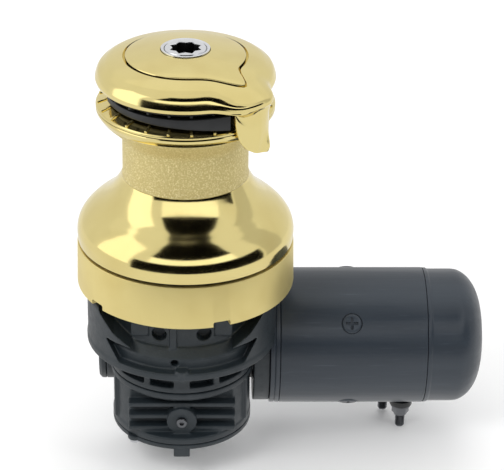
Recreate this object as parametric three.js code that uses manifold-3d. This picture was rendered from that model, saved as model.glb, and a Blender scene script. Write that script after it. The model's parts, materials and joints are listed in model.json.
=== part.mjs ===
// Electric self-tailing sailboat winch: a two-jaw winch drum on its deck base, driven from
// below the deck by a DC motor through a right-angle worm gearbox.
// Millimetres, +Z up. The origin is on the drum axis in the plane of the deck.
import * as THREE from "three";
import { mergeVertices } from "three/addons/utils/BufferGeometryUtils.js";
import Module from "manifold-3d";

const wasm = await Module();
wasm.setup();

// ---- driving dimensions -------------------------------------------------------------------
const GAP = 0.4; // clearance between pieces that touch on the real winch
const TAU = 2 * Math.PI;
const DEG = Math.PI / 180;

const BASE = { radius: 87, topRadius: 86.2, height: 36, floor: 8, foot: 1.4, footInner: 78, wall: 5 };
const DRAIN = { count: 5, first: -71, width: 14, height: 4.6 };
const DRUM = { skirtBottom: 38.4, barrel: 49.5, seat: 152, neck: 44, neckTop: 178 };
const JAW = { radius: 69.6, inner: 44.5, flat: 54, lowerZ: 152.4, upperZ: 165, ribs: 12, rib: 1.1 };
const CAP = { radius: 69.5, top: 197.5, dome: 220, under: 182.5, rimBottom: 174, hub: 24 };
const ARM = { angle: -48.5, reach: 14 };
const SOCKET = { acrossFlats: 17.5, head: 16.2, top: 199, depth: 27 };
const GEAR = { module: 2.8, ring: 30, pinion: 10, bottom: 39.5, width: 14 };
const WORM = { module: 2, teeth: 29, centre: 38, z: -77, radius: 9, width: 14, length: 44 };
const BOX = { x: -3, upper: 76, body: 57, split: -76.4, bottom: -125.7, cavity: 34.5 };
const TUBE = { radius: 36, left: -65.3, right: 56 };
const NECK = { radius: 54.5, right: 69.3 };
const MOTOR = { radius: 56.5, start: 69.7, can: 77.8, canEnd: 197.6, end: 246.6, shaft: 6 };

// ---- solids -------------------------------------------------------------------------------
// A closed three.js geometry as a manifold-3d solid with its faces pointing out.
function solid(geometry) {
  const bare = geometry.index ? geometry.toNonIndexed() : geometry.clone();
  bare.deleteAttribute("normal");
  bare.deleteAttribute("uv");
  const merged = mergeVertices(bare, 1e-4);
  const build = (triVerts) =>
    new wasm.Manifold(
      new wasm.Mesh({ numProp: 3, vertProperties: merged.attributes.position.array, triVerts }),
    );
  const triVerts = new Uint32Array(merged.index.array);
  const made = build(triVerts);
  if (made.volume() > 0) return made;
  for (let i = 0; i < triVerts.length; i += 3)
    [triVerts[i + 1], triVerts[i + 2]] = [triVerts[i + 2], triVerts[i + 1]];
  return build(triVerts);
}

function geometryOf(manifold) {
  const { vertProperties, triVerts, numProp } = manifold.getMesh();
  const positions = new Float32Array((vertProperties.length / numProp) * 3);
  for (let i = 0; i < positions.length / 3; i++)
    positions.set(vertProperties.subarray(i * numProp, i * numProp + 3), i * 3);
  const geometry = new THREE.BufferGeometry();
  geometry.setAttribute("position", new THREE.BufferAttribute(positions, 3));
  geometry.setIndex(new THREE.BufferAttribute(triVerts, 1));
  const flat = geometry.toNonIndexed();
  flat.computeVertexNormals();
  return flat;
}

// A solid of revolution about Z from [radius, z] points.
function turned(profile, segments = 22) {
  const points = [...profile, profile[0]].map(([r, z]) => new THREE.Vector2(r, z));
  return solid(new THREE.LatheGeometry(points, segments).rotateX(Math.PI / 2));
}

function disc(radius, low, high, segments = 24, x = 0, y = 0) {
  const geometry = new THREE.CylinderGeometry(radius, radius, high - low, segments);
  return solid(geometry.rotateX(Math.PI / 2).translate(x, y, (low + high) / 2));
}

function ring(outer, inner, low, high, segments = 24) {
  return turned([[inner, low], [outer, low], [outer, high], [inner, high]], segments);
}

function block(x0, x1, y0, y1, z0, z1) {
  const geometry = new THREE.BoxGeometry(x1 - x0, y1 - y0, z1 - z0);
  return solid(geometry.translate((x0 + x1) / 2, (y0 + y1) / 2, (z0 + z1) / 2));
}

function prism(points, low, high) {
  const shape = new THREE.Shape(points.map(([x, y]) => new THREE.Vector2(x, y)));
  const geometry = new THREE.ExtrudeGeometry(shape, { depth: high - low, bevelEnabled: false });
  return solid(geometry.translate(0, 0, low));
}

const polar = (radius, angle) => [radius * Math.cos(angle), radius * Math.sin(angle)];
const alongX = (manifold) => manifold.rotate([0, 90, 0]); // a solid built about Z, turned to lie along X
const union = (parts) => parts.reduce((whole, part) => whole.add(part));
const without = (whole, cuts) => cuts.reduce((rest, cut) => rest.subtract(cut), whole);
const around = (count, first, make) =>
  Array.from({ length: count }, (_, i) => make(first + (360 * i) / count));

// ---- gears --------------------------------------------------------------------------------
// Outline of a straight-cut gear with a tooth centred on the +X axis when phase is 0.
function gearOutline(teeth, module, { inward = false, phase = 0 } = {}) {
  const pitch = (module * teeth) / 2;
  const addendum = 0.72 * module;
  const dedendum = 1.12 * module;
  const sign = inward ? -1 : 1;
  const step = TAU / teeth;
  const halves = [0.32, 0.11]; // half widths at root and tip, in pitches
  const radii = [pitch - sign * dedendum, pitch + sign * addendum];
  const flank = radii.map((radius, i) => [radius, halves[i] * step]);
  const outline = [];
  for (let i = 0; i < teeth; i++) {
    const centre = (i + phase) * step;
    for (const [radius, half] of flank) outline.push(polar(radius, centre - half));
    for (const [radius, half] of [...flank].reverse()) outline.push(polar(radius, centre + half));
  }
  return outline;
}

// ---- placing the pieces -------------------------------------------------------------------
const winch = new THREE.Group();

function material(color, roughness, metalness) {
  return new THREE.MeshStandardMaterial({ color, roughness, metalness });
}

const bronze = material(0xd9c47c, 0.12, 1);
const gritBronze = material(0xc9b26c, 0.55, 1);
const steel = material(0xb8babd, 0.3, 1);
const chrome = material(0xe4e6e8, 0.15, 1);
const castPaint = material(0x343b42, 0.6, 0.2);
const motorPaint = material(0x4a5059, 0.45, 0.3);
const blackPlastic = material(0x23272a, 0.5, 0);
const gearBronze = material(0xa87a3d, 0.35, 1);
const copper = material(0xb06a3a, 0.4, 1);
const magnet = material(0x3a3a3c, 0.7, 0.2);
const carbon = material(0x2b2b2d, 0.8, 0);

function place(parent, name, manifold, look) {
  const mesh = new THREE.Mesh(geometryOf(manifold), look);
  mesh.name = name;
  parent.add(mesh);
  return mesh;
}

// ---- deck base and centre stem ------------------------------------------------------------
function baseHousing() {
  const { radius, topRadius, height, floor, foot, footInner, wall } = BASE;
  const shell = turned([
    [18.8, foot], [footInner, foot], [footInner, 0], [radius, 0],
    [topRadius, height], [topRadius - wall, height], [radius - wall - 1, floor], [18.8, floor],
  ], 28);
  const drain = (angle) =>
    block(74, 90, -DRAIN.width / 2, DRAIN.width / 2, -1, DRAIN.height).rotate([0, 0, angle]);
  const bolt = (angle) => disc(4.3, -1, floor + 1, 8, 68, 0).rotate([0, 0, angle]);
  return without(shell, [
    ...around(DRAIN.count, DRAIN.first, drain),
    ...around(DRAIN.count, DRAIN.first + 36, bolt),
  ]);
}

const IDLER_RADIUS = GEAR.module * GEAR.pinion; // distance of the idler pins from the drum axis
const IDLER_ANGLES = [0, 180];

function centreStem() {
  const bottom = BASE.floor + GAP;
  const shell = turned([
    [18.8, bottom], [38, bottom], [38, 63], [24, 66], [24, 171], [16.6, 171], [16.6, 72],
    [10.6, 71], [10.6, 61], [18.8, 57],
  ]);
  const [pocketLow, pocketHigh] = [GEAR.bottom - 1.5, GEAR.bottom + GEAR.width + 1.5];
  const pockets = IDLER_ANGLES.map((angle) =>
    disc(17.4, pocketLow, pocketHigh, 28, IDLER_RADIUS, 0).rotate([0, 0, angle]));
  const pinHoles = IDLER_ANGLES.map((angle) =>
    disc(5.4, bottom + 14, 60, 16, IDLER_RADIUS, 0).rotate([0, 0, angle]));
  const screwHoles = around(2, 90, (angle) => disc(2.3, 155, 172, 8, 20.6, 0).rotate([0, 0, angle]));
  return without(shell, [...pockets, ...pinHoles, ...screwHoles]);
}

place(winch, "base_housing", baseHousing(), bronze);
place(winch, "center_stem", centreStem(), steel);

// ---- drum ---------------------------------------------------------------------------------
const SKIRT_CURVE = [
  [86.2, 42], [86.2, 50], [84.6, 59], [80, 66.4], [72, 72.2], [63, 78], [55.5, 84.6],
];
const FLARE_CURVE = [[57.5, 132.8], [67, 139.8], [69.2, 145]];

function drumBody() {
  const { skirtBottom, barrel, seat, neck, neckTop } = DRUM;
  return turned([
    [83.2, skirtBottom], [85.4, skirtBottom], ...SKIRT_CURVE, [barrel, 94], [barrel, 125.4],
    ...FLARE_CURVE, [JAW.radius, seat], [neck, seat], [neck, neckTop], [36, neckTop],
    [36, 160], [31.2, 158], [31.2, 144], [40, 138], [40, 84], [31.2, 80], [31.2, 66.5],
    [45, 66.5], [45, 55.8], [54, 55.8], [54, 70.5], [66, 69], [81, 56],
  ], 24);
}

function ringGear() {
  const low = 40.2;
  const high = 55.4;
  const teeth = gearOutline(GEAR.ring, GEAR.module, { inward: true });
  return disc(53.6, low, high, 24).subtract(prism(teeth, low - 1, high + 1));
}

// A jaw ring: flat near the neck, then a gripping cone with radial ribs. up is +1 or -1.
function jaw(back, face, rimFace, outer, up) {
  const cone = turned([
    [JAW.inner, back], [outer, back], [outer, rimFace], [JAW.flat, face], [JAW.inner, face],
  ], 24);
  const rib = (angle) => {
    const [low, high] = up > 0 ? [face - 2, face + JAW.rib] : [face - JAW.rib, face + 2];
    const bar = block(JAW.flat + 1, outer + 1, -0.9, 0.9, low, high);
    const lean = (Math.atan2(rimFace - face, outer - JAW.flat) / DEG) * -1;
    return bar.translate([-JAW.flat, 0, -face]).rotate([0, lean, 0])
      .translate([JAW.flat, 0, face]).rotate([0, 0, angle]);
  };
  const rim = disc(outer, 100, 190, 28);
  return union([cone, ...around(JAW.ribs, 4, rib).map((bar) => bar.intersect(rim))]);
}

// A flat wire washer that waves up and down, so it works as an axial spring.
function waveSpring(inner, outer, middle, swing, thickness, waves) {
  const steps = waves * 6;
  const corners = [[inner, -1], [outer, -1], [outer, 1], [inner, 1]];
  const rows = [];
  for (let i = 0; i < steps; i++) {
    const angle = (TAU * i) / steps;
    const z = middle + swing * Math.sin(angle * waves);
    rows.push(corners.map(([radius, side]) => [...polar(radius, angle), z + (side * thickness) / 2]));
  }
  return solid(gridSurface(rows, true, true));
}

// A closed surface through rows of points. Rows join end to end when looped, else the ends are fanned.
function gridSurface(rows, loopRows, loopColumns) {
  const columns = rows[0].length;
  const positions = rows.flat(2);
  const index = [];
  const at = (row, column) => (row % rows.length) * columns + (column % columns);
  const lastRow = loopRows ? rows.length : rows.length - 1;
  const lastColumn = loopColumns ? columns : columns - 1;
  for (let row = 0; row < lastRow; row++)
    for (let column = 0; column < lastColumn; column++) {
      const [a, b] = [at(row, column), at(row, column + 1)];
      const [c, d] = [at(row + 1, column), at(row + 1, column + 1)];
      index.push(a, c, b, b, c, d);
    }
  if (!loopRows)
    for (const [row, flip] of [[0, false], [rows.length - 1, true]]) {
      const centre = positions.length / 3;
      const middle = [0, 1, 2].map((k) => rows[row].reduce((sum, p) => sum + p[k], 0) / columns);
      positions.push(...middle);
      for (let column = 0; column < columns; column++) {
        const [a, b] = [at(row, column), at(row, column + 1)];
        index.push(...(flip ? [centre, b, a] : [centre, a, b]));
      }
    }
  const geometry = new THREE.BufferGeometry();
  geometry.setAttribute("position", new THREE.Float32BufferAttribute(positions, 3));
  geometry.setIndex(index);
  return geometry;
}

place(winch, "drum", drumBody(), gritBronze);
place(winch, "ring_gear", ringGear(), steel);
place(winch, "lower_bearing", ring(30.8, 24.4, 67.5, 79), steel);
place(winch, "upper_bearing", ring(30.8, 24.4, 145, 157), steel);
place(winch, "lower_jaw", jaw(JAW.lowerZ, 160, 155, JAW.radius, 1), bronze);
place(winch, "upper_jaw", jaw(172, JAW.upperZ, 170.5, 66, -1), bronze);
place(winch, "jaw_spring", waveSpring(46, 52, 175.1, 1.9, 1.2, 4), steel);
place(winch, "jaw_retainer", ring(52.5, 37, DRUM.neckTop + GAP, 181, 24), steel);

// ---- self-tailing arm, its cover and the stripper -----------------------------------------
const domeZ = (radius, top) => top - (radius * radius) / (2 * CAP.dome);
const nearArm = (degrees) => ((degrees - ARM.angle + 540) % 360) - 180; // angle from the arm, -180 to 180

// Height of the rim's lower edge at an angle from the arm: the hook hangs down below the rim.
const HOOK_EDGE = [
  [-11.5, CAP.rimBottom], [-8.5, 157], [-5.5, 148.5], [-1, 141], [5, 135.4], [8.5, 134.6],
  [11.5, 139], [13.5, CAP.rimBottom],
];
function hookEdge(degrees) {
  const turn = nearArm(degrees);
  const after = HOOK_EDGE.findIndex(([angle]) => angle >= turn);
  if (after <= 0) return CAP.rimBottom;
  const [a0, z0] = HOOK_EDGE[after - 1];
  const [a1, z1] = HOOK_EDGE[after];
  return z0 + ((z1 - z0) * (turn - a0)) / (a1 - a0);
}
const hookReach = (degrees) => ARM.reach * Math.exp(-((nearArm(degrees) / 19) ** 4));

// One radial section of the arm, from the hub round the dome, rim and underside back to the hub.
function armSection(degrees) {
  const edge = hookEdge(degrees);
  const reach = hookReach(degrees);
  const drop = CAP.rimBottom - edge;
  const shoulder = CAP.radius + reach;
  const inner = 67 + reach * 0.36;
  const tip = shoulder - 2 * Math.min(1, drop / 20) - 0.5;
  return [
    [SOCKET.head + 3.2, domeZ(20, CAP.top)], [44, domeZ(44, CAP.top)], [61, domeZ(61, CAP.top)],
    [68 + reach * 0.7, 183.5], [shoulder, 177],
    [tip, edge + drop * 0.25 + 1], [tip - 1, edge],
    [inner, edge], [inner, edge + drop * 0.5 + 2], [66.8, 178],
    [63, CAP.under], [CAP.hub, CAP.under], [CAP.hub, 171.4], [SOCKET.head + 0.6, 171.4],
    [SOCKET.head + 0.6, 188], [SOCKET.head + 3.2, 188],
  ];
}

// Outline of the teardrop cover: a circle drawn out to a point over the arm.
function teardrop(grow) {
  const points = [];
  for (let degrees = 0; degrees < 360; degrees += Math.abs(nearArm(degrees)) < 34 ? 6 : 12) {
    const radius = 46.5 + 18 * Math.exp(-((nearArm(degrees) / 11.5) ** 2)) + grow;
    points.push(polar(radius, degrees * DEG));
  }
  return points;
}

function topCap() {
  const angles = [];
  for (let turn = -180; turn < 180; turn += turn >= -20 && turn < 20 ? 2.5 : 16) angles.push(turn);
  const rows = angles.map((turn) => {
    const degrees = ARM.angle + turn;
    return armSection(degrees).map(([radius, z]) => [...polar(radius, degrees * DEG), z]);
  });
  const shell = solid(gridSurface(rows, true, true));
  const pocket = prism(teardrop(0.9), 185.6, 205);
  const screwHoles = around(2, 90, (angle) => disc(2.3, 165, 184, 8, 20.6, 0)
    .add(disc(3.2, 182, 190, 10, 20.6, 0)).rotate([0, 0, angle]));
  return without(shell, [pocket, ...screwHoles]);
}

function coverPlate() {
  const top = CAP.top + 0.9;
  const rise = [72, 60, 48, 36, 24, 12, 0].map((radius) => [radius, domeZ(radius, top)]);
  const dome = turned([[0, 186], [72, 186], ...rise]);
  const plate = prism(teardrop(0), 186, 205).intersect(dome);
  return without(plate, [disc(19.4, 180, 205, 22)]);
}

// The black stripper: a flat ring between the jaws that widens into a ramp up to the arm.
function stripper() {
  const flat = ring(56, 46.5, 161.4, 163.8, 24);
  const rows = [];
  for (let turn = -118; turn <= -13; turn += 7) {
    const share = (turn + 118) / 105;
    const outer = 61.5 + 9 * share ** 3;
    const low = 161.8 - 0.32 * (outer - 55);
    const high = 163.3 + 0.4 * (outer - 56);
    const degrees = (ARM.angle + turn) * DEG;
    const section = [
      [54, 161.6], [outer - 1, low], [outer, low + 1], [outer, high], [outer - 2, high], [54, 163.6],
    ];
    rows.push(section.map(([radius, z]) => [...polar(radius, degrees), z]));
  }
  return flat.add(solid(gridSurface(rows, false, true)));
}

const screw = (x, y, low, high, head, shank, headHigh) =>
  union([disc(shank, low, high - headHigh + 0.1, 10, x, y), disc(head, high - headHigh, high, 14, x, y)]);

place(winch, "top_cap", topCap(), bronze);
place(winch, "cover_plate", coverPlate(), bronze);
place(winch, "stripper_ring", stripper(), blackPlastic);
for (const [i, y] of [20.6, -20.6].entries())
  place(winch, `arm_screw_${i + 1}`, screw(0, y, 158, 185, 2.8, 1.9, 2.6), steel);

// ---- handle spindle and drum gears --------------------------------------------------------
// Eight-pointed socket: two squares turned 45 degrees, with a notch facing the +Y axis.
function starOutline() {
  const half = SOCKET.acrossFlats / 2;
  const tip = half * Math.SQRT2;
  const notch = half / Math.cos(22.5 * DEG);
  return Array.from({ length: 16 }, (_, i) => polar(i % 2 ? tip : notch, i * 22.5 * DEG));
}

const CLUTCH = { outer: 13, inner: 8.4, low: -12, high: 7 };

function mainSpindle() {
  const { head, top, depth } = SOCKET;
  const shaft = turned([
    [0, 8.5], [CLUTCH.outer + GAP, 8.5], [CLUTCH.outer + GAP, -12.5], [16.2, -12.5], [17.2, -11.5],
    [17.2, 12], [9, 13], [9, 57], [10.2, 57], [10.2, 166], [head, 169], [head, top - 1],
    [head - 1, top], [0, top],
  ], 28);
  return shaft.subtract(prism(starOutline(), top - depth, top + 1));
}

function gearWheel(teeth, phase, bore) {
  const body = prism(gearOutline(teeth, GEAR.module, { phase }), GEAR.bottom, GEAR.bottom + GEAR.width);
  return body.subtract(disc(bore, GEAR.bottom - 1, GEAR.bottom + GEAR.width + 1, 20));
}

place(winch, "main_spindle", mainSpindle(), chrome);
place(winch, "spindle_pinion", gearWheel(GEAR.pinion, 0, 9.4), steel);
const collarBore = SOCKET.head + GAP;
const collar = ring(19, collarBore, 191, 198.7, 22).add(ring(18.4, collarBore, 188.4, 192, 22));
place(winch, "socket_collar", collar, chrome);
place(winch, "spindle_bush", ring(16.2, 10.6, 155, 165.6, 14), gearBronze);
IDLER_ANGLES.forEach((angle, i) => {
  const idler = place(winch, `idler_gear_${i + 1}`, gearWheel(GEAR.pinion, 0.5, 5.6), steel);
  const pin = place(winch, `idler_pin_${i + 1}`, disc(5.1, 24, 59, 14), steel);
  const [x, y] = polar(IDLER_RADIUS, angle * DEG);
  idler.position.set(x, y, 0);
  pin.position.set(x, y, 0);
});

// ---- gearbox ------------------------------------------------------------------------------
const gearbox = new THREE.Group();
gearbox.name = "gearbox";
winch.add(gearbox);

const wormTube = (radius, left, right, segments = 22) =>
  alongX(disc(radius, left, right, segments)).translate([0, WORM.centre, WORM.z]);

function gearboxUpper() {
  const { x, upper, body, split } = BOX;
  const top = -GAP;
  const mantle = union([
    disc(upper - 1.5, -40, -8, 24, x, 0), disc(upper, -53.1, -39, 24, x, 0), disc(62, -9, top, 24),
  ]);
  const neck = disc(50, -72, -52, 20, x, 0);
  const collar = disc(body + 1, split + GAP, -71, 24, x, 0);
  const gussets = around(8, -90, (angle) => {
    const wide = angle === -90 ? 6.4 : 3.2;
    return block(45, 60, -wide, wide, -72, -52).rotate([0, 0, angle]).translate([x, 0, 0]);
  });
  // The front is cut back flat, with a sloping ledge above the lowest flange.
  const flat = block(-60 + x, 52 + x, -95, -60, -33.3, 2);
  const slope = solid(new THREE.ExtrudeGeometry(
    new THREE.Shape([[-60, -32], [-95, -32], [-95, -55], [-69, -39.4], [-60, -33.6]]
      .map(([y, z]) => new THREE.Vector2(y, z))), { depth: 112, bevelEnabled: false })
    .rotateY(Math.PI / 2).rotateX(Math.PI / 2).translate(-60 + x, 0, 0));
  const undercut = block(-46 + x, 46 + x, -95, -68, -47.5, -39);
  const ports = [-17.6, 17.6].map((side) =>
    solid(new THREE.CylinderGeometry(5.6, 5.6, 14, 16).translate(x + side, -56, -22)));
  const rib = block(x - 8.8, x - 3.2, -61.5, -58, -31, -12);
  const cavity = disc(BOX.cavity, split - 1, -61, 22);
  const bore = union([disc(15.6, -62, -14, 14), disc(19, -20, 2, 24)]);
  const casting = without(union([mantle, neck, collar, ...gussets]), [flat, slope, undercut]).add(rib);
  const wormRoom = [
    wormTube(TUBE.radius + GAP, -100, 100),
    wormTube(NECK.radius + GAP, 55.4, 100, 28),
    wormTube(MOTOR.radius + 1, 69, 100, 28),
  ];
  return without(casting, [...ports, cavity, bore, ...wormRoom]);
}

const FIN_FACE = -38;
function gearboxLower() {
  const { x, body, split, bottom } = BOX;
  const collar = disc(body + 1, -82, split - GAP + 0.2, 24, x, 0);
  const barrel = disc(body - 0.5, bottom + 1, -81, 24, x, 0);
  const foot = disc(body, bottom, -120.2, 24, x, 0);
  const flat = block(-60 + x, 60 + x, -95, FIN_FACE, -120.2, -82);
  const fins = [-93.5, -105, -116.5].map((z) => block(-41 + x, 41 + x, -44.5, FIN_FACE + 1, z - 3.7, z));
  const boss = solid(new THREE.CylinderGeometry(11.6, 11.6, 12, 14).translate(x, -41, -108.5));
  const ends = [-1, 1].map((side) =>
    block(x + side * 42.6 - 2, x + side * 42.6 + 2, -40, FIN_FACE + 2, -120.2, -82));
  const tube = wormTube(TUBE.radius, TUBE.left, TUBE.right + 1)
    .add(wormTube(NECK.radius, TUBE.right, NECK.right, 28));
  const cavity = disc(BOX.cavity, -117.5, -61, 22);
  const shaftSeats = [disc(15.6, bottom - 1, -117, 20), disc(15.6, -70, -30, 20)];
  const screwHoles = COVER_SCREWS.map((angle) =>
    disc(2.6, bottom - 1, bottom + 9, 8, 54, 0).rotate([0, 0, angle]).translate([x, 0, 0]));
  const wormBore = wormTube(14, -70, 49, 14);
  const motorBore = wormTube(40, 62, 72, 24);
  const wormSeat = wormTube(14, 40, 63, 14);
  return without(union([collar, without(barrel, [flat]), foot, ...fins, boss, ...ends, tube]),
    [cavity, ...shaftSeats, ...screwHoles, wormBore, motorBore, wormSeat]);
}

const COVER_SCREWS = [30, 150, 225];
function bottomCover() {
  const high = BOX.bottom - GAP;
  const low = high - 3.8;
  const lobes = COVER_SCREWS.map((angle) => disc(6, low, high, 16, 54, 0).rotate([0, 0, angle]));
  const tab = block(-6.6, 6.6, -57, -49, low - 7.4, low + 0.1);
  const plate = union([disc(BOX.body, low, high, 24), ...lobes, tab]);
  const holes = COVER_SCREWS.map((angle) => disc(2.6, low - 1, high + 1, 10, 54, 0).rotate([0, 0, angle]));
  return without(plate, holes).translate([BOX.x, 0, 0]);
}

// Worm wheel teeth lean over the face width to follow the worm's lead.
function wormWheel() {
  const { teeth, width, z, radius } = WORM;
  const outline = gearOutline(teeth, WORM.module, { phase: -teeth / 4 });
  const shape = new THREE.Shape(outline.map(([x, y]) => new THREE.Vector2(x, y)));
  const geometry = new THREE.ExtrudeGeometry(shape, { depth: width, bevelEnabled: false }).translate(0, 0, -width / 2);
  const points = geometry.attributes.position;
  const turn = 1 / (radius * teeth); // twist per millimetre of face width
  for (let i = 0; i < points.count; i++) {
    const angle = points.getZ(i) * turn;
    const [x, y] = [points.getX(i), points.getY(i)];
    points.setXY(i, x * Math.cos(angle) - y * Math.sin(angle), x * Math.sin(angle) + y * Math.cos(angle));
  }
  return solid(geometry).subtract(disc(9.9, -width, width, 14)).translate([0, 0, z]);
}

function outputShaft() {
  return turned([
    [0, -123], [7, -123], [7, -112], [9.5, -112], [9.5, -64], [8, -63], [8, 6.5], [0, 6.5],
  ], 14);
}

place(gearbox, "gearbox_upper", gearboxUpper(), castPaint);
place(gearbox, "gearbox_lower", gearboxLower(), castPaint);
place(gearbox, "bottom_cover", bottomCover(), castPaint);
COVER_SCREWS.forEach((angle, i) => {
  const bolt = screw(0, 0, 117.6, 133.2, 4.2, 2.2, 3).rotate([180, 0, 0]);
  const mesh = place(gearbox, `cover_screw_${i + 1}`, bolt, steel);
  const [x, y] = polar(54, angle * DEG);
  mesh.position.set(x + BOX.x, y, 0);
});
place(gearbox, "worm_wheel", wormWheel(), gearBronze);
place(gearbox, "output_shaft", outputShaft(), steel);
place(gearbox, "one_way_clutch", ring(CLUTCH.outer, CLUTCH.inner, CLUTCH.low, CLUTCH.high, 14), steel);
place(gearbox, "output_bearing_upper", ring(15.2, 8.4, -59, -49, 14), steel);
place(gearbox, "output_bearing_lower", ring(15.2, 7.4, -125.4, -118, 14), steel);

// ---- worm and motor, built along a local Z that lies along +X -------------------------------
const drive = new THREE.Group();
drive.name = "drive_line";
drive.position.set(0, WORM.centre, WORM.z);
drive.rotation.y = Math.PI / 2;
winch.add(drive);

const LEAD = Math.PI * WORM.module;
function wormShaft() {
  const sides = 8;
  const half = WORM.length / 2;
  const stations = [[-63, 5], [-50.5, 5], [-50.4, 6.6], [-half - 2, 6.6]];
  const rows = 4 * Math.round(WORM.length / LEAD);
  for (let i = 0; i <= rows; i++) stations.push([-half + (WORM.length * i) / rows, null]);
  stations.push([half + 2, 6.6], [50.9, 6.6], [51, 5], [66, 5]);
  const thread = (along, angle) => {
    const turns = along / LEAD - (angle + Math.PI / 2) / TAU;
    const offset = Math.abs(turns - Math.round(turns));
    return 6.6 + 4 * THREE.MathUtils.clamp((0.27 - offset) / 0.17, 0, 1);
  };
  const section = ([along, fixed]) => Array.from({ length: sides }, (_, i) => {
    const angle = (TAU * i) / sides;
    return [...polar(fixed ?? thread(along, angle), angle), along];
  });
  // The far end is a cup that grips the end of the motor shaft.
  const bore = MOTOR.shaft + GAP;
  const cup = turned([[0, 65], [10, 65], [10, 78], [bore, 78], [bore, 68], [0, 68]], 24);
  return solid(gridSurface(stations.map(section), false, true)).add(cup);
}

function wormEndCap() {
  const face = TUBE.left - GAP;
  const cap = turned([[0, -71.8], [33.5, -71.8], [TUBE.radius, -69.3], [TUBE.radius, face], [0, face]], 22);
  const holes = around(4, 45, (angle) => disc(2.4, -75, -60, 10, 27, 0).rotate([0, 0, angle]));
  return without(cap, holes);
}

function motorFlange() {
  const { radius, start, can } = MOTOR;
  return turned([
    [13.6, start], [radius, start], [radius, start + 3.3], [radius - 0.9, start + 3.9],
    [radius - 0.9, can - GAP], [50.4, can - GAP], [50.4, can + 5], [46, can + 5],
    [46, can - GAP], [13.6, can - GAP],
  ]);
}

const POLE_ANGLES = [231, 321, 51, 141];
const POLE_MIDDLE = 135.6;

function motorCan() {
  const { radius, can, canEnd } = MOTOR;
  const tube = ring(radius, radius - 5.2, can, canEnd, 28);
  const stepped = disc(3.4, 40, 70, 12).add(disc(8.6, 54.5, 70, 16));
  const screwHoles = POLE_ANGLES.map((angle) =>
    alongX(stepped).translate([0, 0, POLE_MIDDLE]).rotate([0, 0, angle]));
  const studs = TERMINALS.map(({ along, y }) =>
    alongX(disc(7.6, 30, 70, 14)).translate([0, y, along]));
  return without(tube, [...screwHoles, ...studs]);
}

function motorEndCap() {
  const { radius, canEnd, end } = MOTOR;
  const skin = radius - 1.2;
  const low = canEnd + GAP;
  return turned([
    [skin - 5, low], [radius - 0.2, low], [radius - 0.2, low + 2.6], [skin, low + 3.2], [skin, 223],
    [skin - 3, 231], [skin - 10, 238.5], [skin - 21, 243.6], [skin - 34, 246], [0, end],
    [0, end - 4.5], [skin - 34, end - 4.5], [skin - 13, 232], [skin - 5, 221],
  ], 28);
}

const TERMINALS = [{ along: 182.6, y: -9 }, { along: 170, y: 17 }];

// Local +X points down, so the studs are built along it.
function terminal(part, { along, y }) {
  const surface = 0.3 + Math.sqrt(MOTOR.radius ** 2 - (Math.abs(y) - 9.4) ** 2);
  const lengths = {
    stud: () => union([disc(4, 40, surface + 27, 10), disc(8.4, surface + 5.6, surface + 7.2, 14),
      disc(7.4, surface + 7, surface + 13.4, 6), disc(5.6, surface + 13.2, surface + 15, 10)]),
    insulator: () => union([disc(7.2, 48, surface + 1, 12), disc(9.4, surface, surface + 5.2, 12)])
      .subtract(disc(4.3, 30, surface + 20, 10)),
  };
  return alongX(lengths[part]()).translate([0, y, along]);
}

function pole(angle) {
  const arc = ring(50.8, 38.5, 100, 160, 26);
  const keep = 35;
  const wedge = prism([[0, 0], polar(90, -keep * DEG), [90, 0], polar(90, keep * DEG)], 90, 180);
  const hole = alongX(disc(3.6, 44, 60, 12)).translate([0, 0, POLE_MIDDLE]);
  return arc.intersect(wedge).subtract(hole).rotate([0, 0, angle]);
}

function poleScrew(angle) {
  const head = turned([[0, 54.9], [8, 54.9], [8, 56.2], [6, 57.4], [0, 57.4]], 12);
  const cross = union([block(-4.4, 4.4, -0.9, 0.9, 55.9, 61), block(-0.9, 0.9, -4.4, 4.4, 55.9, 61)]);
  const shank = disc(2.9, 45, 55.2, 10);
  const upright = union([head, shank]).subtract(cross);
  return alongX(upright).translate([0, 0, POLE_MIDDLE]).rotate([0, 0, angle]);
}

function armatureCore() {
  const core = disc(36.5, 100, 171, 22);
  const slots = around(12, 0, (angle) => block(31, 40, -1.4, 1.4, 95, 176).rotate([0, 0, angle]));
  return without(core, [...slots, disc(MOTOR.shaft + GAP, 90, 180, 20)]);
}

place(drive, "worm_shaft", wormShaft(), steel);
place(drive, "worm_bearing_left", ring(13.6, 5.4, -62, -51.5, 14), steel);
place(drive, "worm_bearing_right", ring(13.6, 5.4, 51.5, 61.5, 14), steel);
place(drive, "worm_end_cap", wormEndCap(), castPaint);
place(drive, "motor_flange", motorFlange(), motorPaint);
place(drive, "motor_can", motorCan(), motorPaint);
place(drive, "motor_end_cap", motorEndCap(), motorPaint);
place(drive, "motor_shaft", turned([[0, 68.4], [MOTOR.shaft, 68.4], [MOTOR.shaft, 232], [0, 232]], 20), steel);
place(drive, "armature_core", armatureCore(), copper);
place(drive, "commutator", ring(19, MOTOR.shaft + GAP, 178, 196, 24), copper);
place(drive, "front_bearing", ring(13.2, MOTOR.shaft + GAP, 79, 90, 14), steel);
place(drive, "rear_bearing", ring(14, MOTOR.shaft + GAP, 216, 228, 14), steel);
[90, 270].forEach((angle, i) => {
  const brush = block(19.8, 36, -5, 5, 180, 194).rotate([0, 0, angle]);
  place(drive, `brush_${i + 1}`, brush, carbon);
});
POLE_ANGLES.forEach((angle, i) => {
  place(drive, `pole_${i + 1}`, pole(angle), magnet);
  place(drive, `pole_screw_${i + 1}`, poleScrew(angle), motorPaint);
});
TERMINALS.forEach((where, i) => {
  for (const [part, material] of [["stud", steel], ["insulator", blackPlastic]])
    place(drive, `terminal_${part}_${i + 1}`, terminal(part, where), material);
});

export default winch;
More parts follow.
